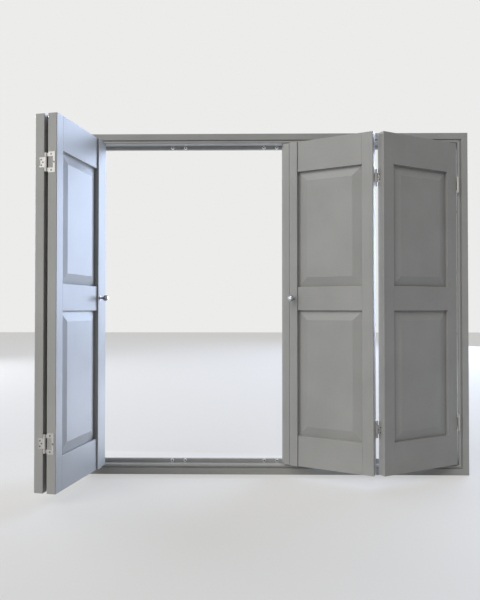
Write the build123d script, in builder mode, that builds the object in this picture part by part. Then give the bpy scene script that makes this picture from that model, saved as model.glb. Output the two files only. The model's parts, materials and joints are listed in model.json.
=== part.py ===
from build123d import *

import os

# Solid panel window shutter: two pairs of folding leaves in a four-sided frame.
# Millimetres. X runs to the right, Y from the room towards the window, Z up.
# The origin is on the frame's underside, at the middle of its width and depth.
# Every leaf is modelled shut, then turned about its hinge pins to the stored pose.
# In what follows, side is -1 for pieces left of the middle and +1 for those right of it.

# Leaves
LEAF_WIDTH = 332
LEAF_HEIGHT = 1150
LEAF_THICKNESS = 30
FOLD_STILE_WIDTH = 38
OUTER_STILE_WIDTH = 44
LEAD_STILE_WIDTH = 62
TOP_RAIL_HEIGHT = 107
LOCK_RAIL_HEIGHT = 83
BOTTOM_RAIL_HEIGHT = 107
LOCK_RAIL_RISE = 550
STILE_ARRIS_RADIUS = 2

# Joinery between stiles, rails and panels
GROOVE_WIDTH = 9
GROOVE_DEPTH = 10
TONGUE_LENGTH = 9.5
TONGUE_CLEARANCE = 0.1

# Raised and fielded panels
FIELD_BELOW_FACE = 3
FIELD_BEVEL_WIDTH = 34
FIELD_EDGE_GAP = 0.5

# Meeting edges of the two inner leaves
LAP_WIDTH = 9
LAP_SIDE_GAP = 4
LAP_FACE_GAP = 4
STRIP_WIDTH = 29.5
STRIP_PROUD = 5
STRIP_ARRIS_RADIUS = 1.5
STRIP_QUIRK = 3

# Gaps round the leaves
SIDE_GAP = 3
END_GAP = 3

# Frame
FRAME_FACE_WIDTH = 36
BEAD_WIDTH = 10.5
QUIRK_WIDTH = 3
STOP_GAP = 4
STOP_HEIGHT = 12.5
STOP_THICKNESS = 12
STOP_ARRIS_RADIUS = 1.5
FIXING_HOLE_COUNT = 4
FIXING_HOLE_SPACING = 220
FIXING_HOLE_SETBACK = 16
FIXING_HOLE_RADIUS = 2.75
FIXING_HEAD_RADIUS = 5.5

# Hinges
HINGE_HEIGHT = 64
HINGE_FROM_END = 150
BARREL_RADIUS = 4
BARREL_OFFSET = 6
END_KNUCKLE_HEIGHT = 12
KNUCKLE_GAP = 0.3
PLATE_THICKNESS = 1.2
PLATE_REACH = 30
PLATE_ARM_HEIGHT = 15
PLATE_SPINE_WIDTH = 7
PLATE_SHOULDER_DROP = 4
PLATE_CORNER_RADIUS = 1.5
TAB_REACH = 22
TAB_CORNER_RADIUS = 3
TAB_NOTCH_RADIUS = 20
TAB_NOTCH_DEPTH = 4
PIN_RADIUS = 1.5
PIN_CLEARANCE = 0.05
PIN_HEAD_RADIUS = 2.8
PIN_HEAD_HEIGHT = 1.2

# Hinge screws
SCREW_HEAD_RADIUS = 2.8
SCREW_RADIUS = 1.4
SCREW_LENGTH = 14
SCREW_CLEARANCE = 0.1
ARM_SCREW_REACH = 17.5
TAB_FAR_SCREW_REACH = 15.5
TAB_FAR_SCREW_RISE = 8.5
TAB_NEAR_SCREW_REACH = 10

# Magnetic catches on the stops, and their strikes on the leaves
CATCH_SPREAD = 47
CATCH_RADIUS = 6
CATCH_PROUD = 1.5
CATCH_SHANK_RADIUS = 3.5
CATCH_SHANK_LENGTH = 9
MAGNET_RADIUS = 2.7
MAGNET_HEIGHT = 0.9
CATCH_FIT = 0.1
STRIKE_RADIUS = 5
STRIKE_GAP = 0.3
STRIKE_FROM_END = 5.5

# Knobs
KNOB_RISE = 593
KNOB_RADIUS = 10
KNOB_PROJECTION = 30
KNOB_HEAD_LENGTH = 17
KNOB_HEAD_ROUNDING = 6
KNOB_NECK_RADIUS = 4
KNOB_ROSE_RADIUS = 7
KNOB_ROSE_HEIGHT = 1.5
KNOB_COVE_RADIUS = 2.5
KNOB_STUD_RADIUS = 2
KNOB_STUD_LENGTH = 18
KNOB_STUD_CLEARANCE = 0.1

# Stored pose, in degrees: how far each pair is swung from the frame, and folded
LEFT_SWING = 101.25
LEFT_FOLD = 180
RIGHT_SWING = 27
RIGHT_FOLD = 54

# Sizes that follow from those above
LEAF_PITCH = LEAF_WIDTH + SIDE_GAP
OPENING_WIDTH = 4 * LEAF_PITCH + SIDE_GAP
OPENING_HEIGHT = LEAF_HEIGHT + 2 * END_GAP
REBATE_DEPTH = LEAF_THICKNESS + STOP_GAP
FRAME_DEPTH = REBATE_DEPTH + STOP_THICKNESS
FRONT = -FRAME_DEPTH / 2
LEAF_MIDDLE = FRONT + LEAF_THICKNESS / 2
LEAF_BACK = FRONT + LEAF_THICKNESS
STOP_FRONT = FRONT + REBATE_DEPTH
OPENING_BOTTOM = FRAME_FACE_WIDTH
OPENING_TOP = OPENING_BOTTOM + OPENING_HEIGHT
OPENING_MIDDLE = OPENING_BOTTOM + OPENING_HEIGHT / 2
LEAF_BOTTOM = OPENING_BOTTOM + END_GAP
LEAF_TOP = LEAF_BOTTOM + LEAF_HEIGHT
LEAD_STILE_EDGE = SIDE_GAP / 2 + LEAD_STILE_WIDTH
KNOB_X = LEAD_STILE_EDGE - STRIP_WIDTH / 2
KNOB_SEAT = FRONT - STRIP_PROUD
KNOB_Z = LEAF_BOTTOM + KNOB_RISE
STRIKE_HEIGHT = STOP_GAP - CATCH_PROUD - STRIKE_GAP
JAMB_PIN = (OPENING_WIDTH / 2 - SIDE_GAP / 2, FRONT - BARREL_OFFSET)
FOLD_PIN = (JAMB_PIN[0] - LEAF_PITCH, LEAF_BACK + BARREL_OFFSET)
HINGE_LEVELS = (LEAF_BOTTOM + HINGE_FROM_END, LEAF_TOP - HINGE_FROM_END)
CATCH_LEVELS = (OPENING_BOTTOM + STOP_HEIGHT / 2, OPENING_TOP - STOP_HEIGHT / 2)
CATCH_PLACES = [joint + offset for joint in (-LEAF_PITCH, 0, LEAF_PITCH)
                for offset in (-CATCH_SPREAD / 2, CATCH_SPREAD / 2)]
STRIKE_LEVELS = (LEAF_BOTTOM + STRIKE_FROM_END, LEAF_TOP - STRIKE_FROM_END)
BARREL_HEIGHT = HINGE_HEIGHT - 2 * PLATE_SHOULDER_DROP
TAB_HEIGHT = BARREL_HEIGHT - 2 * END_KNUCKLE_HEIGHT - 2 * KNUCKLE_GAP

# Screws of a hinge, as distance from the pin's axis and rise from the hinge's middle
ARM_SCREW_RISE = (HINGE_HEIGHT - PLATE_ARM_HEIGHT) / 2
PLATE_SCREWS = ((ARM_SCREW_REACH, ARM_SCREW_RISE), (ARM_SCREW_REACH, -ARM_SCREW_RISE),
                (PLATE_REACH - PLATE_SPINE_WIDTH / 2, 0))
TAB_SCREWS = ((TAB_FAR_SCREW_REACH, TAB_FAR_SCREW_RISE), (TAB_FAR_SCREW_REACH, -TAB_FAR_SCREW_RISE),
              (TAB_NEAR_SCREW_REACH, 0))


class Seat:
    """Where a hinge plate lies: its pin, the way it runs from the pin and the side its timber is on."""

    def __init__(self, pin, side, towards_window, timber):
        self.x = side * pin[0]
        self.y = pin[1]
        self.way = 1 if towards_window else -1
        self.timber = timber
        self.face_x = self.x + timber * SIDE_GAP / 2

    def screw_places(self, screws):
        """Where each screw crosses the timber's face, at both hinges of the pair."""
        return [(self.face_x, self.y + self.way * reach, level + rise)
                for level in HINGE_LEVELS for reach, rise in screws]


def turn(side, pin, degrees):
    """The move that turns a shut leaf about one of its pins."""
    x = side * pin[0]
    return Location((x, pin[1], 0)) * Location((0, 0, 0), (0, 0, degrees)) * Location((-x, -pin[1], 0))


def write(name, piece, pose=Location((0, 0, 0))):
    """Place a finished piece in the stored pose, label it and write it."""
    piece.part.location = pose
    piece.part.label = name
    export_step(piece.part, f"parts/{name}.step")


# Frame

def frame_member(middle, run, outward, opening_length):
    """A mitred member whose moulded section is drawn from the opening's front edge outwards."""
    corner_reach = opening_length / 2
    half_length = corner_reach + FRAME_FACE_WIDTH
    bead_radius = BEAD_WIDTH / 2
    quirk_edge = BEAD_WIDTH + QUIRK_WIDTH
    section = Plane(origin=middle, x_dir=(0, 1, 0), z_dir=run)
    with BuildPart() as member:
        with BuildSketch(section):
            with BuildLine():
                ThreePointArc((bead_radius, 0), (0, bead_radius), (bead_radius, BEAD_WIDTH))
                Polyline((bead_radius, BEAD_WIDTH), (bead_radius, quirk_edge), (0, quirk_edge),
                         (0, FRAME_FACE_WIDTH), (FRAME_DEPTH, FRAME_FACE_WIDTH), (FRAME_DEPTH, 0),
                         (bead_radius, 0))
            make_face()
        extrude(amount=half_length, both=True)
        for end in (1, -1):
            corner = Vector(*middle) + Vector(*run) * end * corner_reach
            split(bisect_by=Plane(origin=corner, z_dir=Vector(*run) * end - Vector(*outward)),
                  keep=Keep.BOTTOM)
    return member


def jamb(side):
    """A jamb, with its countersunk fixing holes and the pilot holes of its hinge screws."""
    face_x = side * OPENING_WIDTH / 2
    member = frame_member((face_x, FRONT, OPENING_MIDDLE), (0, 0, -side), (side, 0, 0), OPENING_HEIGHT)
    hole_plane = Plane(origin=(face_x, FRONT + FIXING_HOLE_SETBACK, OPENING_MIDDLE),
                       x_dir=(0, 0, 1), z_dir=(-side, 0, 0))
    with member:
        with Locations(hole_plane):
            with GridLocations(FIXING_HOLE_SPACING, 1, FIXING_HOLE_COUNT, 1):
                CounterSinkHole(FIXING_HOLE_RADIUS, FIXING_HEAD_RADIUS, FRAME_FACE_WIDTH)
        drill_pilots(Seat(JAMB_PIN, side, True, side), PLATE_SCREWS)
    return member


def stop_bar(edge, inward):
    """The stop along the head or the sill, bored for its catches."""
    with BuildPart() as bar:
        with BuildSketch(Plane.YZ) as section:
            with Locations((STOP_FRONT + STOP_THICKNESS / 2, edge + inward * STOP_HEIGHT / 2)):
                Rectangle(STOP_THICKNESS, STOP_HEIGHT)
            fillet(section.vertices().group_by(Axis.Y)[-1 if inward > 0 else 0], STOP_ARRIS_RADIUS)
        extrude(amount=OPENING_WIDTH / 2, both=True)
        with BuildSketch(Plane.XZ.offset(-STOP_FRONT)):
            with Locations(*[(x, edge + inward * STOP_HEIGHT / 2) for x in CATCH_PLACES]):
                Circle(CATCH_SHANK_RADIUS + CATCH_FIT)
        extrude(amount=-CATCH_SHANK_LENGTH - CATCH_FIT, mode=Mode.SUBTRACT)
    return bar


def catch_cups():
    """Cups set into the stops, each with a recess for its magnet."""
    places = [(x, z) for z in CATCH_LEVELS for x in CATCH_PLACES]
    rim = Plane.XZ.offset(-STOP_FRONT + CATCH_PROUD)
    with BuildPart() as cups:
        with BuildSketch(rim):
            with Locations(*places):
                Circle(CATCH_RADIUS)
        extrude(amount=-CATCH_PROUD)
        with BuildSketch(Plane.XZ.offset(-STOP_FRONT)):
            with Locations(*places):
                Circle(CATCH_SHANK_RADIUS)
        extrude(amount=-CATCH_SHANK_LENGTH)
        with BuildSketch(rim):
            with Locations(*places):
                Circle(MAGNET_RADIUS + CATCH_FIT)
        extrude(amount=-MAGNET_HEIGHT - CATCH_FIT, mode=Mode.SUBTRACT)
    return cups


def catch_magnets():
    """Magnets on the floor of each cup's recess."""
    with BuildPart() as magnets:
        with BuildSketch(Plane.XZ.offset(-STOP_FRONT + CATCH_PROUD - CATCH_FIT)):
            with Locations(*[(x, z) for z in CATCH_LEVELS for x in CATCH_PLACES]):
                Circle(MAGNET_RADIUS)
        extrude(amount=-MAGNET_HEIGHT)
    return magnets


# Hinges: a C-shaped plate carries the end knuckles, and a tab nested in it the middle one

def bore_barrel(seat):
    with Locations(*[(seat.x, seat.y, level) for level in HINGE_LEVELS]):
        Cylinder(PIN_RADIUS + PIN_CLEARANCE, BARREL_HEIGHT, mode=Mode.SUBTRACT)


def cut_countersinks(seat, screws):
    with Locations(*[(x - seat.timber * PLATE_THICKNESS / 2, y, z) for x, y, z in seat.screw_places(screws)]):
        Cone(SCREW_HEAD_RADIUS + SCREW_CLEARANCE, SCREW_RADIUS + SCREW_CLEARANCE, PLATE_THICKNESS,
             rotation=(0, 90 * seat.timber, 0), mode=Mode.SUBTRACT)


def drill_pilots(seat, screws):
    depth = SCREW_LENGTH + SCREW_CLEARANCE
    with Locations(*[(x + seat.timber * depth / 2, y, z) for x, y, z in seat.screw_places(screws)]):
        Cylinder(SCREW_RADIUS + SCREW_CLEARANCE, depth, rotation=(0, 90, 0), mode=Mode.SUBTRACT)


def hinge_plates(seat):
    """The pair of C-shaped plates of one hinge line, their arms sloped down to the knuckles."""
    window_reach = PLATE_REACH - PLATE_SPINE_WIDTH
    window_height = HINGE_HEIGHT - 2 * PLATE_ARM_HEIGHT
    slope = 2 * PLATE_SHOULDER_DROP
    shoulder = ((0, 0), (BARREL_OFFSET, 0), (BARREL_OFFSET + slope, slope), (0, slope))
    with BuildPart() as plates:
        with BuildSketch(Plane.YZ.offset(seat.face_x)):
            with Locations(*[(seat.y + seat.way * PLATE_REACH / 2, level) for level in HINGE_LEVELS]):
                RectangleRounded(PLATE_REACH, HINGE_HEIGHT, PLATE_CORNER_RADIUS)
            with Locations(*[(seat.y + seat.way * window_reach / 2, level) for level in HINGE_LEVELS]):
                Rectangle(window_reach, window_height, mode=Mode.SUBTRACT)
            for end in (1, -1):
                with Locations(*[(seat.y, level + end * BARREL_HEIGHT / 2) for level in HINGE_LEVELS]):
                    Polygon(*[(seat.way * reach, end * rise) for reach, rise in shoulder], align=None,
                            mode=Mode.SUBTRACT)
        extrude(amount=-seat.timber * PLATE_THICKNESS)
        knuckle_rise = (BARREL_HEIGHT - END_KNUCKLE_HEIGHT) / 2
        with Locations(*[(seat.x, seat.y, level + end * knuckle_rise)
                         for level in HINGE_LEVELS for end in (1, -1)]):
            Cylinder(BARREL_RADIUS, END_KNUCKLE_HEIGHT)
        bore_barrel(seat)
        cut_countersinks(seat, PLATE_SCREWS)
    return plates


def hinge_tabs(seat):
    """The pair of tabs of one hinge line, each with a hollow far edge between two lobes."""
    notch_middle = TAB_REACH - TAB_NOTCH_DEPTH + TAB_NOTCH_RADIUS
    with BuildPart() as tabs:
        with BuildSketch(Plane.YZ.offset(seat.face_x)):
            with Locations(*[(seat.y + seat.way * TAB_REACH / 2, level) for level in HINGE_LEVELS]):
                RectangleRounded(TAB_REACH, TAB_HEIGHT, TAB_CORNER_RADIUS)
            with Locations(*[(seat.y + seat.way * notch_middle, level) for level in HINGE_LEVELS]):
                Circle(TAB_NOTCH_RADIUS, mode=Mode.SUBTRACT)
        extrude(amount=-seat.timber * PLATE_THICKNESS)
        with Locations(*[(seat.x, seat.y, level) for level in HINGE_LEVELS]):
            Cylinder(BARREL_RADIUS, TAB_HEIGHT)
        bore_barrel(seat)
        cut_countersinks(seat, TAB_SCREWS)
    return tabs


def hinge_pins(seat):
    """The pair of pins of one hinge line, headed at both ends."""
    head_rise = (BARREL_HEIGHT + PIN_HEAD_HEIGHT) / 2
    with BuildPart() as pins:
        with Locations(*[(seat.x, seat.y, level) for level in HINGE_LEVELS]):
            Cylinder(PIN_RADIUS, BARREL_HEIGHT)
        with Locations(*[(seat.x, seat.y, level + end * head_rise)
                         for level in HINGE_LEVELS for end in (1, -1)]):
            Cylinder(PIN_HEAD_RADIUS, PIN_HEAD_HEIGHT)
    return pins


def hinge_screws(*sets):
    """Countersunk screws, flush with their plates, for one or more hinge lines."""
    with BuildPart() as fasteners:
        for seat, screws in sets:
            places = seat.screw_places(screws)
            with Locations(*[(x - seat.timber * PLATE_THICKNESS / 2, y, z) for x, y, z in places]):
                Cone(SCREW_HEAD_RADIUS, SCREW_RADIUS, PLATE_THICKNESS, rotation=(0, 90 * seat.timber, 0))
            with Locations(*[(x + seat.timber * SCREW_LENGTH / 2, y, z) for x, y, z in places]):
                Cylinder(SCREW_RADIUS, SCREW_LENGTH, rotation=(0, 90, 0))
    return fasteners


# Leaves

def plain_stile(edge, width, seat, screws):
    """A flat stile, grooved inside and drilled for the screws in its outer edge."""
    inward = seat.timber
    with BuildPart() as stile:
        with BuildSketch(Plane.XY.offset(LEAF_BOTTOM)) as section:
            with Locations((edge + inward * width / 2, LEAF_MIDDLE)):
                Rectangle(width, LEAF_THICKNESS)
            fillet(section.vertices().group_by(Axis.X)[0 if inward > 0 else -1], STILE_ARRIS_RADIUS)
            with Locations((edge + inward * (width - GROOVE_DEPTH / 2), LEAF_MIDDLE)):
                Rectangle(GROOVE_DEPTH, GROOVE_WIDTH, mode=Mode.SUBTRACT)
        extrude(amount=LEAF_HEIGHT)
        drill_pilots(seat, screws)
    return stile


def lead_stile(side):
    """A meeting stile: a strip stands proud beside the panels, and its edge is half lapped.
    The left one keeps the room half of its lap, and the right one the window half."""
    inner = side * LEAD_STILE_EDGE
    shoulder = side * (LAP_WIDTH / 2 + LAP_SIDE_GAP)
    lap_end = -side * LAP_WIDTH / 2
    lap_thickness = (LEAF_THICKNESS - LAP_FACE_GAP) / 2
    lap_middle = LEAF_MIDDLE + side * (LEAF_THICKNESS - lap_thickness) / 2
    strip_edge = inner - side * STRIP_WIDTH
    with BuildPart() as stile:
        with BuildSketch(Plane.XY.offset(LEAF_BOTTOM)) as section:
            with Locations((inner - side * STRIP_WIDTH / 2, FRONT)):
                Rectangle(STRIP_WIDTH, 2 * STRIP_PROUD)
            fillet(section.vertices().group_by(Axis.Y)[0], STRIP_ARRIS_RADIUS)
            with Locations(((inner + shoulder) / 2, LEAF_MIDDLE)):
                Rectangle(abs(inner - shoulder), LEAF_THICKNESS)
            with Locations(((inner + lap_end) / 2, lap_middle)):
                Rectangle(abs(inner - lap_end), lap_thickness)
            with Locations((strip_edge - side * STRIP_QUIRK / 2, FRONT)):
                Rectangle(STRIP_QUIRK, 2 * STRIP_QUIRK, mode=Mode.SUBTRACT)
            with Locations((inner - side * GROOVE_DEPTH / 2, LEAF_MIDDLE)):
                Rectangle(GROOVE_DEPTH, GROOVE_WIDTH, mode=Mode.SUBTRACT)
        extrude(amount=LEAF_HEIGHT)
        with BuildSketch(Plane.XZ.offset(-KNOB_SEAT)):
            with Locations((side * KNOB_X, KNOB_Z)):
                Circle(KNOB_STUD_RADIUS + KNOB_STUD_CLEARANCE)
        extrude(amount=-KNOB_STUD_LENGTH - KNOB_STUD_CLEARANCE, mode=Mode.SUBTRACT)
    return stile


def rail(ends, bottom, top, groove_levels):
    """A rail with a stub tenon at each end and a groove along each edge that meets a panel."""
    tenon_bottom = bottom + (GROOVE_DEPTH if bottom in groove_levels else 0)
    tenon_top = top - (GROOVE_DEPTH if top in groove_levels else 0)
    length = ends[1] - ends[0]
    middle_x = (ends[0] + ends[1]) / 2
    with BuildPart() as member:
        with BuildSketch(Plane.YZ.offset(middle_x)):
            with Locations((LEAF_MIDDLE, (bottom + top) / 2)):
                Rectangle(LEAF_THICKNESS, top - bottom)
            with Locations(*[(LEAF_MIDDLE, level) for level in groove_levels]):
                Rectangle(GROOVE_WIDTH, 2 * GROOVE_DEPTH, mode=Mode.SUBTRACT)
        extrude(amount=length / 2, both=True)
        with BuildSketch(Plane.YZ.offset(middle_x)):
            with Locations((LEAF_MIDDLE, (tenon_bottom + tenon_top) / 2)):
                Rectangle(GROOVE_WIDTH - 2 * TONGUE_CLEARANCE, tenon_top - tenon_bottom)
        extrude(amount=length / 2 + TONGUE_LENGTH, both=True)
    return member


def raised_panel(ends, bottom, top):
    """A panel with a tongue all round, fielded on both faces."""
    width = ends[1] - ends[0]
    height = top - bottom
    tongue_half = GROOVE_WIDTH / 2 - TONGUE_CLEARANCE
    field_half = LEAF_THICKNESS / 2 - FIELD_BELOW_FACE
    middle = Plane(origin=((ends[0] + ends[1]) / 2, LEAF_MIDDLE, (bottom + top) / 2),
                   x_dir=(1, 0, 0), z_dir=(0, -1, 0))
    with BuildPart() as panel:
        with BuildSketch(middle):
            Rectangle(width + 2 * TONGUE_LENGTH, height + 2 * TONGUE_LENGTH)
        extrude(amount=tongue_half, both=True)
        for face in (1, -1):
            with BuildSketch(middle.offset(face * tongue_half)):
                Rectangle(width - 2 * FIELD_EDGE_GAP, height - 2 * FIELD_EDGE_GAP)
            with BuildSketch(middle.offset(face * field_half)):
                Rectangle(width - 2 * FIELD_BEVEL_WIDTH, height - 2 * FIELD_BEVEL_WIDTH)
            loft()
    return panel


def strikes(places):
    """Steel discs on a leaf's window face, opposite the catches."""
    with BuildPart() as discs:
        with BuildSketch(Plane.XZ.offset(-LEAF_BACK)):
            with Locations(*[(x, z) for z in STRIKE_LEVELS for x in places]):
                Circle(STRIKE_RADIUS)
        extrude(amount=-STRIKE_HEIGHT)
    return discs


def knob(side):
    """A turned knob with its rose and stud, drawn as half a profile and spun."""
    head_middle = KNOB_PROJECTION - KNOB_HEAD_LENGTH / 2
    profile_plane = Plane(origin=(side * KNOB_X, KNOB_SEAT, KNOB_Z), x_dir=(1, 0, 0), z_dir=(0, 0, -1))
    with BuildPart() as turned:
        with BuildSketch(profile_plane) as profile:
            with Locations((0, head_middle)):
                Rectangle(KNOB_RADIUS, KNOB_HEAD_LENGTH, align=(Align.MIN, Align.CENTER))
            fillet(profile.vertices().group_by(Axis.X)[-1], KNOB_HEAD_ROUNDING)
            Rectangle(KNOB_ROSE_RADIUS, KNOB_ROSE_HEIGHT, align=(Align.MIN, Align.MIN))
            Rectangle(KNOB_NECK_RADIUS, head_middle, align=(Align.MIN, Align.MIN))
            rose_edge = profile.vertices().sort_by_distance((KNOB_NECK_RADIUS, KNOB_ROSE_HEIGHT))[0]
            fillet(rose_edge, KNOB_COVE_RADIUS)
            Rectangle(KNOB_STUD_RADIUS, KNOB_STUD_LENGTH, align=(Align.MIN, Align.MAX))
        revolve(axis=Axis((side * KNOB_X, KNOB_SEAT, KNOB_Z), (0, 1, 0)))
    return turned


def write_rails_and_panels(name, ends, pose):
    """The rails and panels that fill the space between two stiles."""
    bottom_rail_top = LEAF_BOTTOM + BOTTOM_RAIL_HEIGHT
    lock_bottom = LEAF_BOTTOM + LOCK_RAIL_RISE
    lock_top = lock_bottom + LOCK_RAIL_HEIGHT
    top_rail_bottom = LEAF_TOP - TOP_RAIL_HEIGHT
    write(f"{name}_bottom_rail", rail(ends, LEAF_BOTTOM, bottom_rail_top, [bottom_rail_top]), pose)
    write(f"{name}_lock_rail", rail(ends, lock_bottom, lock_top, [lock_bottom, lock_top]), pose)
    write(f"{name}_top_rail", rail(ends, top_rail_bottom, LEAF_TOP, [top_rail_bottom]), pose)
    write(f"{name}_lower_panel", raised_panel(ends, bottom_rail_top, lock_bottom), pose)
    write(f"{name}_upper_panel", raised_panel(ends, lock_top, top_rail_bottom), pose)


def write_outer_leaf(name, side, pose):
    """The leaf that hangs on a jamb."""
    jamb_edge = side * (OPENING_WIDTH / 2 - SIDE_GAP)
    fold_edge = jamb_edge - side * LEAF_WIDTH
    jamb_seat = Seat(JAMB_PIN, side, True, -side)
    fold_seat = Seat(FOLD_PIN, side, False, side)
    ends = sorted((jamb_edge - side * OUTER_STILE_WIDTH, fold_edge + side * OUTER_STILE_WIDTH))
    write(f"{name}_jamb_stile", plain_stile(jamb_edge, OUTER_STILE_WIDTH, jamb_seat, TAB_SCREWS), pose)
    write(f"{name}_fold_stile", plain_stile(fold_edge, OUTER_STILE_WIDTH, fold_seat, TAB_SCREWS), pose)
    write_rails_and_panels(name, ends, pose)
    write(f"{name}_strikes", strikes([side * (LEAF_PITCH + CATCH_SPREAD / 2)]), pose)
    write(f"{name}_jamb_hinge_tabs", hinge_tabs(jamb_seat), pose)
    write(f"{name}_fold_hinge_tabs", hinge_tabs(fold_seat), pose)
    write(f"{name}_hinge_screws", hinge_screws((jamb_seat, TAB_SCREWS), (fold_seat, TAB_SCREWS)), pose)


def write_inner_leaf(name, side, pose):
    """The leaf that folds against the outer one and meets its opposite in the middle."""
    fold_edge = side * (SIDE_GAP / 2 + LEAF_WIDTH)
    fold_seat = Seat(FOLD_PIN, side, False, -side)
    ends = sorted((fold_edge - side * FOLD_STILE_WIDTH, side * LEAD_STILE_EDGE))
    write(f"{name}_fold_stile", plain_stile(fold_edge, FOLD_STILE_WIDTH, fold_seat, PLATE_SCREWS), pose)
    write(f"{name}_lead_stile", lead_stile(side), pose)
    write_rails_and_panels(name, ends, pose)
    write(f"{name}_knob", knob(side), pose)
    strike_places = [side * CATCH_SPREAD / 2, side * (LEAF_PITCH - CATCH_SPREAD / 2)]
    write(f"{name}_strikes", strikes(strike_places), pose)
    write(f"{name}_fold_hinge_plates", hinge_plates(fold_seat), pose)
    write(f"{name}_fold_hinge_pins", hinge_pins(fold_seat), pose)
    write(f"{name}_hinge_screws", hinge_screws((fold_seat, PLATE_SCREWS)), pose)


def write_frame():
    write("head_member", frame_member((0, FRONT, OPENING_TOP), (1, 0, 0), (0, 0, 1), OPENING_WIDTH))
    write("sill_member", frame_member((0, FRONT, OPENING_BOTTOM), (-1, 0, 0), (0, 0, -1), OPENING_WIDTH))
    write("head_stop", stop_bar(OPENING_TOP, -1))
    write("sill_stop", stop_bar(OPENING_BOTTOM, 1))
    write("catch_cups", catch_cups())
    write("catch_magnets", catch_magnets())
    jamb_seats = {"left": Seat(JAMB_PIN, -1, True, -1), "right": Seat(JAMB_PIN, 1, True, 1)}
    for name, seat in jamb_seats.items():
        write(f"{name}_jamb", jamb(seat.timber))
        write(f"{name}_jamb_hinge_plates", hinge_plates(seat))
        write(f"{name}_jamb_hinge_pins", hinge_pins(seat))
    write("jamb_hinge_screws", hinge_screws(*[(seat, PLATE_SCREWS) for seat in jamb_seats.values()]))


os.makedirs("parts", exist_ok=True)
write_frame()
left_swing = turn(-1, JAMB_PIN, -LEFT_SWING)
right_swing = turn(1, JAMB_PIN, RIGHT_SWING)
write_outer_leaf("left_outer", -1, left_swing)
write_inner_leaf("left_inner", -1, left_swing * turn(-1, FOLD_PIN, LEFT_FOLD))
write_outer_leaf("right_outer", 1, right_swing)
write_inner_leaf("right_inner", 1, right_swing * turn(1, FOLD_PIN, -RIGHT_FOLD))
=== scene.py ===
"""Finishes, fittings and studio for a solid panel window shutter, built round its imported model."""

import json
import math

import bmesh
import bpy
from mathutils import Euler, Matrix, Vector

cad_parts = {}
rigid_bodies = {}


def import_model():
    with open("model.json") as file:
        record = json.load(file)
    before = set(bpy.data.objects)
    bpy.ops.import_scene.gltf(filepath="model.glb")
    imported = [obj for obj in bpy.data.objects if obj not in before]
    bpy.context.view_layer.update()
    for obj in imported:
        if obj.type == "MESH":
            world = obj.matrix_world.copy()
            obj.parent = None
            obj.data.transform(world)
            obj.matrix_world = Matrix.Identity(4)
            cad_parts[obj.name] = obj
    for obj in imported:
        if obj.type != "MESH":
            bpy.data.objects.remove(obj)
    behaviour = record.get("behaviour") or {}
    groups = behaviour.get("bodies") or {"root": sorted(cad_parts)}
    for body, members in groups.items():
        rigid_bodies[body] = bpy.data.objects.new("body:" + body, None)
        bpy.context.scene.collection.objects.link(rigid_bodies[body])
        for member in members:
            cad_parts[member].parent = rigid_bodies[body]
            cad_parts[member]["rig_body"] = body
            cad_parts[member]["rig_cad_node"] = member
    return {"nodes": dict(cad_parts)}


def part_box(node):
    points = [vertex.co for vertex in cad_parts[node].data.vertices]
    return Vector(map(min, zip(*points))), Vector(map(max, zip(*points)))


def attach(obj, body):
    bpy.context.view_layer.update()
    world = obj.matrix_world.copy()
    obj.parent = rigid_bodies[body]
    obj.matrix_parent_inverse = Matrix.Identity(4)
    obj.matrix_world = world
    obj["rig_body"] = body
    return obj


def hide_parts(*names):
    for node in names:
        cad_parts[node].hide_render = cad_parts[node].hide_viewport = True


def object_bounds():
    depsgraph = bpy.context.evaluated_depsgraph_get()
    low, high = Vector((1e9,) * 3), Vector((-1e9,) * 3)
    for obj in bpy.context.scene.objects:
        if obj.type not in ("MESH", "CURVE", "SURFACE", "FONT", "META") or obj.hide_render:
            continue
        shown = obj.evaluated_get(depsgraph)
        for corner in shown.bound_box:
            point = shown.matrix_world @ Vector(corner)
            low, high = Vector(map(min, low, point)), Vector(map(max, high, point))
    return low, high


bl_info = {
    "name": "Solid Panel Window Shutter",
    "version": (1, 0, 0),
    "blender": (4, 5, 0),
    "location": "3D View > Sidebar > Shutter",
    "description": "Paints, fits and lights a folding panel shutter",
    "category": "Object",
}

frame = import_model()
CAD_BOX = [list(corner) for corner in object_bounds()]
MM = 0.001

FRAME_MEMBERS = ("head_member", "sill_member", "left_jamb", "right_jamb")
FRAME_STOPS = ("head_stop", "sill_stop")
LEAVES = ("left_outer", "left_inner", "right_outer", "right_inner")
RAILS = ("bottom_rail", "lock_rail", "top_rail")
PANELS = ("lower_panel", "upper_panel")
STILES = {
    "left_outer": ("jamb_stile", "fold_stile"),
    "left_inner": ("fold_stile", "lead_stile"),
    "right_outer": ("jamb_stile", "fold_stile"),
    "right_inner": ("fold_stile", "lead_stile"),
}

# Edges sharper than these are softened, and on timber only where they run further than a screw hole's rim
TIMBER_EDGE_ANGLE = math.radians(30)
METAL_EDGE_ANGLE = math.radians(40)
HOLE_RIM_SPAN = 16 * MM
EDGE_SEGMENTS = 2

# Faces that meet at less than these are shaded as one surface
FRAME_SMOOTH_ANGLE = math.radians(35)
MEMBER_SMOOTH_ANGLE = math.radians(50)
PANEL_SMOOTH_ANGLE = math.radians(8)
METAL_SMOOTH_ANGLE = math.radians(35)

# Widths of the broken edges on metal and magnets
HINGE_EDGE = 0.2 * MM
CUP_EDGE = 0.3 * MM
STRIKE_EDGE = 0.35 * MM
MAGNET_EDGE = 0.15 * MM
KNOB_EDGE = 0.3 * MM


def node_body(node):
    """The CAD body that a node rides on."""
    return frame["nodes"][node]["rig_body"]


def rail_angle(leaf):
    """How far a leaf's rails are turned from the frame's width, in radians, in the stored pose."""
    centres = []
    for node in STILES[leaf]:
        low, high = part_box(f"{leaf}_{node}")
        centres.append((low + high) / 2)
    run = centres[1] - centres[0]
    return math.atan2(run.y, run.x)


# Colour and node helpers

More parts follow.
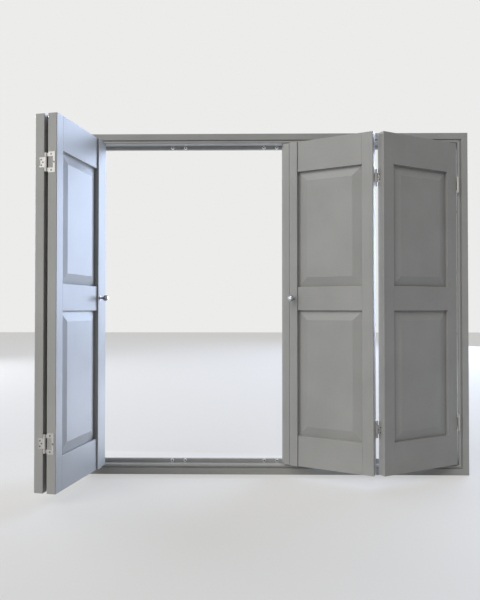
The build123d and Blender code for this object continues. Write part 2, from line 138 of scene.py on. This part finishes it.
def linear(hex_colour):
    """An sRGB hex colour as the linear colour that shaders take."""
    channels = [int(hex_colour[start:start + 2], 16) / 255 for start in (1, 3, 5)]
    return tuple(c / 12.92 if c <= 0.04045 else ((c + 0.055) / 1.055) ** 2.4 for c in channels) + (1.0,)


def add_node(tree, kind, links=None, **values):
    """Add a shader node, set its properties and input values by name, with _ for a space, and link what
    feeds it."""
    node = tree.nodes.new(kind)
    for name, value in values.items():
        if hasattr(node, name):
            setattr(node, name, value)
        else:
            node.inputs[name.replace("_", " ")].default_value = value
    for name, source in (links or {}).items():
        tree.links.new(source, node.inputs[name])
    return node


def new_material(name):
    """An empty node material with its shader and output joined."""
    material = bpy.data.materials.new(name)
    material.use_nodes = True
    tree = material.node_tree
    tree.nodes.clear()
    shader = tree.nodes.new("ShaderNodeBsdfPrincipled")
    output = tree.nodes.new("ShaderNodeOutputMaterial")
    tree.links.new(shader.outputs["BSDF"], output.inputs["Surface"])
    return material, tree, shader


def settings():
    """The scene's settings for this part."""
    return bpy.context.scene.shutter_settings


def colour_ramp(tree, source, stops):
    """A colour ramp over a value, between two stops of (position, hex colour)."""
    ramp = add_node(tree, "ShaderNodeValToRGB", {"Fac": source})
    for element, (position, colour) in zip(ramp.color_ramp.elements, stops):
        element.position = position
        element.color = linear(colour)
    return ramp


def vary_roughness(tree, shader, pattern, least, most):
    """Let a pattern carry the shader's roughness from least to most."""
    spread = add_node(tree, "ShaderNodeMapRange", {"Value": pattern}, To_Min=least, To_Max=most)
    tree.links.new(spread.outputs["Result"], shader.inputs["Roughness"])


def metal_finish(tree, shader, pattern, shades, roughness):
    """Make a shader a metal whose colour and roughness both follow one pattern."""
    shade = colour_ramp(tree, pattern, shades)
    tree.links.new(shade.outputs["Color"], shader.inputs["Base Color"])
    shader.inputs["Metallic"].default_value = 1.0
    vary_roughness(tree, shader, pattern, *roughness)


def satin_paint(name, run):
    """Water-based satin paint, brushed along the timber. The brush leaves shallow ridges about 1.5 mm
    apart and the roller a faint stipple, so the sheen breaks up along each member's own length. The
    run is the length's angle from the frame's width, or None for upright timber."""
    stroke_stretch = 0.04
    stipple_size = 0.8 * MM
    cloud_size = 140 * MM
    streak_share = 0.4
    stipple_share = 0.35
    relief_height = 0.06 * MM
    relief_strength = 0.22
    sheen_fall = 0.05
    sheen_rise = 0.07
    material, tree, shader = new_material(name)
    place = add_node(tree, "ShaderNodeTexCoord").outputs["Object"]
    turn = Euler((0, 0, -run), "XYZ") if run is not None else Euler((0, math.pi / 2, 0), "XYZ")
    along = add_node(tree, "ShaderNodeMapping", {"Vector": place}, vector_type="POINT")
    along.inputs["Rotation"].default_value = turn
    stretched = add_node(tree, "ShaderNodeMapping", {"Vector": along.outputs["Vector"]}, vector_type="POINT")
    stretched.inputs["Scale"].default_value = (stroke_stretch, 1.0, 1.0)
    ridges = add_node(tree, "ShaderNodeTexNoise", {"Vector": stretched.outputs["Vector"]},
                      Scale=1 / settings().brush_pitch, Detail=3.0, Roughness=0.55)
    stipple = add_node(tree, "ShaderNodeTexNoise", {"Vector": place}, Scale=1 / stipple_size, Detail=2.0)
    cloud = add_node(tree, "ShaderNodeTexNoise", {"Vector": place}, Scale=1 / cloud_size, Detail=2.0)
    drift = colour_ramp(tree, cloud.outputs["Fac"],
                        ((0.30, settings().paint_shade), (0.70, settings().paint_light)))
    streak = colour_ramp(tree, ridges.outputs["Fac"], ((0.35, "#F4F4F4"), (0.62, "#FFFFFF")))
    tint = add_node(tree, "ShaderNodeMix", data_type="RGBA", blend_type="MULTIPLY")
    tint.inputs["Factor"].default_value = streak_share
    tree.links.new(drift.outputs["Color"], tint.inputs["A"])
    tree.links.new(streak.outputs["Color"], tint.inputs["B"])
    tree.links.new(tint.outputs["Result"], shader.inputs["Base Color"])
    roughness = settings().paint_roughness
    vary_roughness(tree, shader, ridges.outputs["Fac"], roughness - sheen_fall, roughness + sheen_rise)
    relief = add_node(tree, "ShaderNodeMath", operation="MULTIPLY_ADD")
    tree.links.new(stipple.outputs["Fac"], relief.inputs[0])
    relief.inputs[1].default_value = stipple_share
    tree.links.new(ridges.outputs["Fac"], relief.inputs[2])
    bump = add_node(tree, "ShaderNodeBump", {"Height": relief.outputs["Value"]}, Strength=relief_strength,
                    Distance=relief_height)
    tree.links.new(bump.outputs["Normal"], shader.inputs["Normal"])
    return material


def satin_nickel():
    """Satin nickel plate over pressed steel: a soft warm grey metal with fine lines from the polishing
    belt, which run up and down and spread its highlights sideways."""
    line_width = 0.4 * MM
    line_stretch = 0.03
    line_depth = 0.02 * MM
    material, tree, shader = new_material("satin_nickel_plate")
    place = add_node(tree, "ShaderNodeTexCoord").outputs["Object"]
    belt = add_node(tree, "ShaderNodeMapping", {"Vector": place}, vector_type="POINT")
    belt.inputs["Scale"].default_value = (1.0, 1.0, line_stretch)
    lines = add_node(tree, "ShaderNodeTexNoise", {"Vector": belt.outputs["Vector"]}, Scale=1 / line_width,
                     Detail=2.0)
    metal_finish(tree, shader, lines.outputs["Fac"], ((0.3, "#A8A6A2"), (0.7, "#BEBCB8")), (0.42, 0.58))
    bump = add_node(tree, "ShaderNodeBump", {"Height": lines.outputs["Fac"]}, Strength=0.2,
                    Distance=line_depth)
    tree.links.new(bump.outputs["Normal"], shader.inputs["Normal"])
    return material


def polished_chrome():
    """Polished chrome plate over turned brass: smooth and bright, with faint smears from fingers."""
    smear_size = 7 * MM
    material, tree, shader = new_material("polished_chrome_plate")
    place = add_node(tree, "ShaderNodeTexCoord").outputs["Object"]
    smear = add_node(tree, "ShaderNodeTexNoise", {"Vector": place}, Scale=1 / smear_size, Detail=3.0)
    metal_finish(tree, shader, smear.outputs["Fac"], ((0.3, "#8E9092"), (0.7, "#A2A4A6")), (0.05, 0.16))
    return material


def zinc_plate():
    """Bright zinc plate on small steel pieces: bluish, a little mottled, less even than nickel."""
    mottle_size = 1.2 * MM
    material, tree, shader = new_material("bright_zinc_plate")
    place = add_node(tree, "ShaderNodeTexCoord").outputs["Object"]
    mottle = add_node(tree, "ShaderNodeTexNoise", {"Vector": place}, Scale=1 / mottle_size, Detail=3.0)
    metal_finish(tree, shader, mottle.outputs["Fac"], ((0.3, "#D9DBDD"), (0.7, "#ECEDEF")), (0.16, 0.28))
    return material


def screw_steel():
    """Nickelled steel screws, darker and greyer than the plates round them: the darkness is painted shade
    standing in for the shade in their countersunk recesses.
    """
    scuff_size = 0.5 * MM
    material, tree, shader = new_material("steel_screws_with_painted_shade")
    place = add_node(tree, "ShaderNodeTexCoord").outputs["Object"]
    scuff = add_node(tree, "ShaderNodeTexNoise", {"Vector": place}, Scale=1 / scuff_size, Detail=3.0)
    # These dark tones are painted shade for the countersinks round the heads
    metal_finish(tree, shader, scuff.outputs["Fac"], ((0.3, "#5F5D5A"), (0.7, "#7F7D7A")), (0.32, 0.52))
    return material


def ferrite():
    """Pressed ferrite: charcoal black and matt, with a fine sparkle of grains."""
    grain_size = 0.3 * MM
    material, tree, shader = new_material("pressed_ferrite")
    place = add_node(tree, "ShaderNodeTexCoord").outputs["Object"]
    grain = add_node(tree, "ShaderNodeTexNoise", {"Vector": place}, Scale=1 / grain_size, Detail=2.0)
    shade = colour_ramp(tree, grain.outputs["Fac"], ((0.35, "#2C2C2F"), (0.75, "#4A4B4E")))
    tree.links.new(shade.outputs["Color"], shader.inputs["Base Color"])
    shader.inputs["Roughness"].default_value = 0.62
    return material


# Mesh helpers

def select_only(piece):
    """Deselect everything, then select and activate one object."""
    bpy.ops.object.select_all(action="DESELECT")
    piece.hide_set(False)
    piece.select_set(True)
    bpy.context.view_layer.objects.active = piece


def copied_node(node, name):
    """A welded copy of a CAD node, with its flat faces made whole."""
    weld_distance = 0.002 * MM
    flat_angle = math.radians(0.5)
    select_only(frame["nodes"][node])
    bpy.ops.object.duplicate()
    piece = bpy.context.active_object
    bpy.ops.object.parent_clear(type="CLEAR_KEEP_TRANSFORM")
    piece.name = name
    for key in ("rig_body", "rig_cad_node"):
        if key in piece:
            del piece[key]
    bpy.ops.object.mode_set(mode="EDIT")
    bpy.ops.mesh.customdata_custom_splitnormals_clear()
    bpy.ops.mesh.select_all(action="SELECT")
    bpy.ops.mesh.remove_doubles(threshold=weld_distance)
    bpy.ops.mesh.dissolve_limited(angle_limit=flat_angle)
    bpy.ops.object.mode_set(mode="OBJECT")
    return piece


def connected_groups(edges):
    """Edges sorted into groups that share corners."""
    left = set(edges)
    groups = []
    while left:
        group = [left.pop()]
        for edge in group:
            for vert in edge.verts:
                for other in vert.link_edges:
                    if other in left:
                        left.remove(other)
                        group.append(other)
        groups.append(group)
    return groups


def group_span(group):
    """The diagonal of the box that holds a group of edges."""
    points = [vert.co for edge in group for vert in edge.verts]
    low = Vector([min(point[axis] for point in points) for axis in range(3)])
    high = Vector([max(point[axis] for point in points) for axis in range(3)])
    return (high - low).length


def soften_edges(piece, width, least_angle, least_span):
    """Round the outward edges sharper than least_angle, leaving the rims of small holes alone."""
    select_only(piece)
    bpy.ops.object.mode_set(mode="EDIT")
    bpy.ops.mesh.select_all(action="DESELECT")
    bpy.ops.mesh.select_mode(type="EDGE")
    mesh = bmesh.from_edit_mesh(piece.data)
    sharp = [edge for edge in mesh.edges
             if len(edge.link_faces) == 2 and edge.is_convex and edge.calc_face_angle() > least_angle]
    chosen = [edge for group in connected_groups(sharp) if group_span(group) > least_span for edge in group]
    for edge in chosen:
        edge.select_set(True)
    bmesh.update_edit_mesh(piece.data)
    if chosen:
        bpy.ops.mesh.bevel(offset=width, segments=EDGE_SEGMENTS, profile=0.5, affect="EDGES",
                           clamp_overlap=False)
    bpy.ops.object.mode_set(mode="OBJECT")


def finish_piece(piece, material, node, smooth_angle):
    """Give a finished piece its material and let it stand for its CAD node."""
    select_only(piece)
    bpy.ops.object.shade_smooth_by_angle(angle=smooth_angle)
    flat_faces = piece.modifiers.new("flat_faces", "WEIGHTED_NORMAL")
    flat_faces.keep_sharp = True
    bpy.ops.object.modifier_apply(modifier=flat_faces.name)
    piece.data.materials.clear()
    piece.data.materials.append(material)
    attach(piece, node_body(node))
    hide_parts(node)


def paint_timber(node, material, smooth_angle):
    """A painted copy of a timber node, its arrises softened by sanding and paint."""
    piece = copied_node(node, f"painted_{node}")
    soften_edges(piece, settings().painted_arris, TIMBER_EDGE_ANGLE, HOLE_RIM_SPAN)
    finish_piece(piece, material, node, smooth_angle)


def plate_metal(node, material, width):
    """A finished copy of a metal node or magnet, with its stamped, turned or pressed edges broken."""
    piece = copied_node(node, f"plated_{node}")
    soften_edges(piece, width, METAL_EDGE_ANGLE, 0.0)
    finish_piece(piece, material, node, METAL_SMOOTH_ANGLE)


# Operators

class SHUTTER_OT_frame(bpy.types.Operator):
    """Paint the mitred frame and its stops"""

    bl_idname = "shutter.frame"
    bl_label = "Painted Frame"
    bl_options = {"REGISTER", "UNDO"}

    def execute(self, context):
        upright = satin_paint("satin_paint_on_jambs", None)
        level = satin_paint("satin_paint_on_head_and_sill", 0.0)
        for node in FRAME_MEMBERS + FRAME_STOPS:
            paint_timber(node, upright if "jamb" in node else level, FRAME_SMOOTH_ANGLE)
        return {"FINISHED"}


class SHUTTER_OT_leaves(bpy.types.Operator):
    """Paint the stiles, rails and raised panels of the leaves"""

    bl_idname = "shutter.leaves"
    bl_label = "Painted Leaves"
    bl_options = {"REGISTER", "UNDO"}

    def execute(self, context):
        upright = satin_paint("satin_paint_on_stiles_and_panels", None)
        for leaf in LEAVES:
            level = satin_paint(f"satin_paint_on_{leaf}_rails", rail_angle(leaf))
            for node in STILES[leaf]:
                paint_timber(f"{leaf}_{node}", upright, MEMBER_SMOOTH_ANGLE)
            for node in RAILS:
                paint_timber(f"{leaf}_{node}", level, MEMBER_SMOOTH_ANGLE)
            for node in PANELS:
                paint_timber(f"{leaf}_{node}", upright, PANEL_SMOOTH_ANGLE)
        return {"FINISHED"}


class SHUTTER_OT_hinges(bpy.types.Operator):
    """Plate the hinges and their pins"""

    bl_idname = "shutter.hinges"
    bl_label = "Plated Hinges"
    bl_options = {"REGISTER", "UNDO"}

    def execute(self, context):
        nickel = satin_nickel()
        for node in frame["nodes"]:
            if "hinge" in node and not node.endswith("screws"):
                plate_metal(node, nickel, HINGE_EDGE)
        return {"FINISHED"}


class SHUTTER_OT_screws(bpy.types.Operator):
    """Cut the cross recess into every hinge screw"""

    bl_idname = "shutter.screws"
    bl_label = "Hinge Screws"
    bl_options = {"REGISTER", "UNDO"}

    def execute(self, context):
        steel = screw_steel()
        for node in frame["nodes"]:
            if node.endswith("screws"):
                piece = copied_node(node, f"recessed_{node}")
                cut_cross_recesses(piece)
                finish_piece(piece, steel, node, METAL_SMOOTH_ANGLE)
        return {"FINISHED"}


def head_faces(piece):
    """The flat heads of a group of screws, as centre and outward direction. They are its widest faces."""
    head_share = 0.9
    widest = max(face.area for face in piece.data.polygons)
    return [(face.center.copy(), face.normal.copy()) for face in piece.data.polygons
            if face.area > head_share * widest]


def cut_cross_recesses(piece):
    """Cut a cross recess into each head with two crossed wings."""
    wing_length = 3.2 * MM
    wing_width = 0.7 * MM
    depth = 0.8 * MM
    wings = []
    for centre, outward in head_faces(piece):
        turn = outward.to_track_quat("Z", "Y").to_matrix().to_4x4()
        for quarter in (0, 1):
            bpy.ops.object.select_all(action="DESELECT")
            bpy.ops.mesh.primitive_cube_add(size=1)
            wing = bpy.context.active_object
            crossed = Matrix.Rotation(quarter * math.pi / 2, 4, "Z")
            sized = Matrix.Diagonal((wing_length, wing_width, 2 * depth, 1))
            wing.matrix_world = Matrix.Translation(centre) @ turn @ crossed @ sized
            bpy.ops.object.transform_apply(location=True, rotation=True, scale=True)
            wings.append(wing)
    bpy.ops.object.select_all(action="DESELECT")
    for wing in wings:
        wing.select_set(True)
    bpy.context.view_layer.objects.active = wings[0]
    bpy.ops.object.join()
    cutter = bpy.context.active_object
    select_only(piece)
    cut = piece.modifiers.new("cross_recess", "BOOLEAN")
    cut.operation = "DIFFERENCE"
    cut.solver = "EXACT"
    cut.use_self = True
    cut.object = cutter
    bpy.ops.object.modifier_apply(modifier=cut.name)
    bpy.data.objects.remove(cutter)


class SHUTTER_OT_catches(bpy.types.Operator):
    """Plate the catch cups and strikes and colour the magnets"""

    bl_idname = "shutter.catches"
    bl_label = "Magnetic Catches"
    bl_options = {"REGISTER", "UNDO"}

    def execute(self, context):
        zinc = zinc_plate()
        plate_metal("catch_cups", zinc, CUP_EDGE)
        for leaf in LEAVES:
            plate_metal(f"{leaf}_strikes", zinc, STRIKE_EDGE)
        plate_metal("catch_magnets", ferrite(), MAGNET_EDGE)
        return {"FINISHED"}


class SHUTTER_OT_knobs(bpy.types.Operator):
    """Plate the turned knobs"""

    bl_idname = "shutter.knobs"
    bl_label = "Turned Knobs"
    bl_options = {"REGISTER", "UNDO"}

    def execute(self, context):
        chrome = polished_chrome()
        for node in ("left_inner_knob", "right_inner_knob"):
            plate_metal(node, chrome, KNOB_EDGE)
        return {"FINISHED"}


class SHUTTER_OT_stage(bpy.types.Operator):
    """Lay the pale floor, hang the lamps and set the camera"""

    bl_idname = "shutter.stage"
    bl_label = "Studio"
    bl_options = {"REGISTER", "UNDO"}

    def execute(self, context):
        lay_floor()
        hang_lamps()
        set_world()
        set_camera()
        context.scene.view_settings.view_transform = "Standard"
        return {"FINISHED"}


def seen_directly(tree):
    """One where a ray comes from the camera, a mirror or clear glass, and nought for scattered light."""
    path = add_node(tree, "ShaderNodeLightPath")
    direct = add_node(tree, "ShaderNodeMath", operation="MAXIMUM")
    tree.links.new(path.outputs["Is Camera Ray"], direct.inputs[0])
    tree.links.new(path.outputs["Is Glossy Ray"], direct.inputs[1])
    through = add_node(tree, "ShaderNodeMath", operation="MAXIMUM")
    tree.links.new(direct.outputs["Value"], through.inputs[0])
    tree.links.new(path.outputs["Is Transmission Ray"], through.inputs[1])
    return through.outputs["Value"]


def lay_floor():
    """A wide pale floor at the level of the frame's underside. It scatters less light upwards than its
    paleness would, so that undersides stay in shade."""
    floor_width = 24
    own_glow_share = 0.55
    bpy.ops.object.select_all(action="DESELECT")
    bpy.ops.mesh.primitive_plane_add(size=floor_width, location=(0, 0, CAD_BOX[0][2]))
    floor = bpy.context.active_object
    floor.name = "studio_floor"
    bpy.ops.object.transform_apply(location=True, rotation=True, scale=True)
    material, tree, shader = new_material("matt_pale_floor")
    direct = seen_directly(tree)
    colour = add_node(tree, "ShaderNodeMix", {"Factor": direct}, data_type="RGBA")
    colour.inputs["A"].default_value = linear("#B4B3B1")
    colour.inputs["B"].default_value = linear("#CBCAC8")
    tree.links.new(colour.outputs["Result"], shader.inputs["Base Color"])
    shader.inputs["Roughness"].default_value = 0.8
    glow = add_node(tree, "ShaderNodeEmission", Color=linear("#E9E8E6"), Strength=1.0)
    share = add_node(tree, "ShaderNodeMath", {"Value": direct}, operation="MULTIPLY")
    share.inputs[1].default_value = own_glow_share
    blend = tree.nodes.new("ShaderNodeMixShader")
    tree.links.new(share.outputs["Value"], blend.inputs["Fac"])
    tree.links.new(shader.outputs["BSDF"], blend.inputs[1])
    tree.links.new(glow.outputs["Emission"], blend.inputs[2])
    output = next(node for node in tree.nodes if node.type == "OUTPUT_MATERIAL")
    tree.links.new(blend.outputs["Shader"], output.inputs["Surface"])
    floor.data.materials.append(material)


def hang_panel(name, colour, place, aim, size, power):
    """A soft rectangular lamp at a place, turned to face a point. The camera doesn't see it."""
    bpy.ops.object.select_all(action="DESELECT")
    bpy.ops.object.light_add(type="AREA", location=place)
    lamp = bpy.context.active_object
    lamp.name = name
    lamp.rotation_euler = (Vector(aim) - Vector(place)).to_track_quat("-Z", "Y").to_euler()
    lamp.data.shape = "RECTANGLE"
    lamp.data.size, lamp.data.size_y = size
    lamp.data.energy = power
    lamp.data.color = linear(colour)[:3]
    lamp.visible_camera = False


def hang_lamps():
    """Daylight from behind on both sides and from low behind the opening, as off a window board, with a
    wide fill from the left and a soft high light over the viewer's left shoulder."""
    hang_panel("daylight_panel", "#CCDEFF", place=(4.6, 4.8, 2.6), aim=(-0.6, -0.2, 0.6), size=(5.0, 5.0),
               power=settings().daylight_power)
    hang_panel("rear_panel", "#F4F7FF", place=(-4.2, 2.8, 1.6), aim=(0.4, 0.0, 0.6), size=(3.0, 3.0),
               power=settings().rear_power)
    hang_panel("low_panel", "#E4EDFF", place=(-0.25, 0.5, 0.12), aim=(-0.3, -0.05, 1.15), size=(1.3, 0.6),
               power=settings().low_power)
    hang_panel("left_fill", "#FFFFFF", place=(-5.9, -2.6, 1.5), aim=(0.2, 0.0, 0.5), size=(4.6, 4.2),
               power=settings().fill_power)
    beam_forward = math.radians(35)
    beam_right = math.radians(-30)
    bpy.ops.object.select_all(action="DESELECT")
    bpy.ops.object.light_add(type="SUN", location=(0, 0, 4), rotation=(beam_forward, beam_right, 0))
    sky = bpy.context.active_object
    sky.name = "soft_overhead_light"
    sky.data.angle = math.radians(50)
    sky.data.energy = settings().overhead_strength


def set_world():
    """A pale backdrop for the camera and reflections, and a plain even light on the object."""
    world = bpy.data.worlds.new("studio_world")
    bpy.context.scene.world = world
    world.use_nodes = True
    tree = world.node_tree
    tree.nodes.clear()
    light = add_node(tree, "ShaderNodeBackground", Color=linear("#F2F4F6"),
                     Strength=settings().world_strength)
    seen = add_node(tree, "ShaderNodeBackground", Color=linear("#ECECEB"), Strength=1.0)
    mix = tree.nodes.new("ShaderNodeMixShader")
    tree.links.new(seen_directly(tree), mix.inputs["Fac"])
    tree.links.new(light.outputs["Background"], mix.inputs[1])
    tree.links.new(seen.outputs["Background"], mix.inputs[2])
    output = tree.nodes.new("ShaderNodeOutputWorld")
    tree.links.new(mix.outputs["Shader"], output.inputs["Surface"])


def set_camera():
    """The camera stands in the room, level with the middle of the leaves and left of their middle."""
    level = math.radians(90)
    pitch_up = math.radians(0.815)
    turn_left = math.radians(0.79)
    bpy.ops.object.select_all(action="DESELECT")
    bpy.ops.object.camera_add(location=(-0.0826, -2.080, 0.597))
    camera = bpy.context.active_object
    camera.name = "room_camera"
    camera.rotation_euler = (level + pitch_up, 0, turn_left)
    camera.data.lens = 34.26
    camera.data.sensor_width = 36
    bpy.context.scene.camera = camera


# Settings and panel

class ShutterSettings(bpy.types.PropertyGroup):
    """Colours, finishes and lamp strengths"""

    paint_shade: bpy.props.StringProperty(
        name="Paint Shade", description="Darker hex colour that the paint drifts to", default="#A2A19D")
    paint_light: bpy.props.StringProperty(
        name="Paint Light", description="Lighter hex colour that the paint drifts to", default="#AAA9A5")
    paint_roughness: bpy.props.FloatProperty(
        name="Paint Roughness", description="Mean roughness of the satin paint", default=0.40, min=0, max=1,
        subtype="FACTOR")
    brush_pitch: bpy.props.FloatProperty(
        name="Brush Pitch", description="Distance between the ridges a brush leaves", default=1.5 * MM,
        unit="LENGTH")
    painted_arris: bpy.props.FloatProperty(
        name="Painted Arris", description="Width of the sanded edge on timber", default=0.6 * MM,
        unit="LENGTH")
    daylight_power: bpy.props.FloatProperty(
        name="Daylight Power", description="Power of the panel behind on the right", default=740,
        unit="POWER")
    fill_power: bpy.props.FloatProperty(
        name="Fill Power", description="Power of the panel on the left", default=128, unit="POWER")
    rear_power: bpy.props.FloatProperty(
        name="Rear Power", description="Power of the panel behind on the left", default=170, unit="POWER")
    low_power: bpy.props.FloatProperty(
        name="Low Power", description="Power of the panel low behind the opening", default=7, unit="POWER")
    overhead_strength: bpy.props.FloatProperty(
        name="Overhead Strength", description="Strength of the soft light from above and left", default=1.4,
        min=0)
    world_strength: bpy.props.FloatProperty(
        name="World Strength", description="Strength of the even light", default=0.12, min=0)


class SHUTTER_PT_panel(bpy.types.Panel):
    """Every step and setting, in the sidebar"""

    bl_label = "Shutter"
    bl_idname = "SHUTTER_PT_panel"
    bl_space_type = "VIEW_3D"
    bl_region_type = "UI"
    bl_category = "Shutter"

    def draw(self, context):
        for name in ShutterSettings.__annotations__:
            self.layout.prop(context.scene.shutter_settings, name)
        for step in STEPS:
            self.layout.operator(step.bl_idname)


STEPS = (SHUTTER_OT_frame, SHUTTER_OT_leaves, SHUTTER_OT_hinges, SHUTTER_OT_screws, SHUTTER_OT_catches,
         SHUTTER_OT_knobs, SHUTTER_OT_stage)
CLASSES = (ShutterSettings,) + STEPS + (SHUTTER_PT_panel,)


def register():
    for item in CLASSES:
        bpy.utils.register_class(item)
    bpy.types.Scene.shutter_settings = bpy.props.PointerProperty(type=ShutterSettings)


def unregister():
    del bpy.types.Scene.shutter_settings
    for item in reversed(CLASSES):
        bpy.utils.unregister_class(item)


def main():
    register()
    bpy.ops.shutter.frame()
    bpy.ops.shutter.leaves()
    bpy.ops.shutter.hinges()
    bpy.ops.shutter.screws()
    bpy.ops.shutter.catches()
    bpy.ops.shutter.knobs()
    bpy.ops.shutter.stage()


if __name__ == "__main__":
    main()
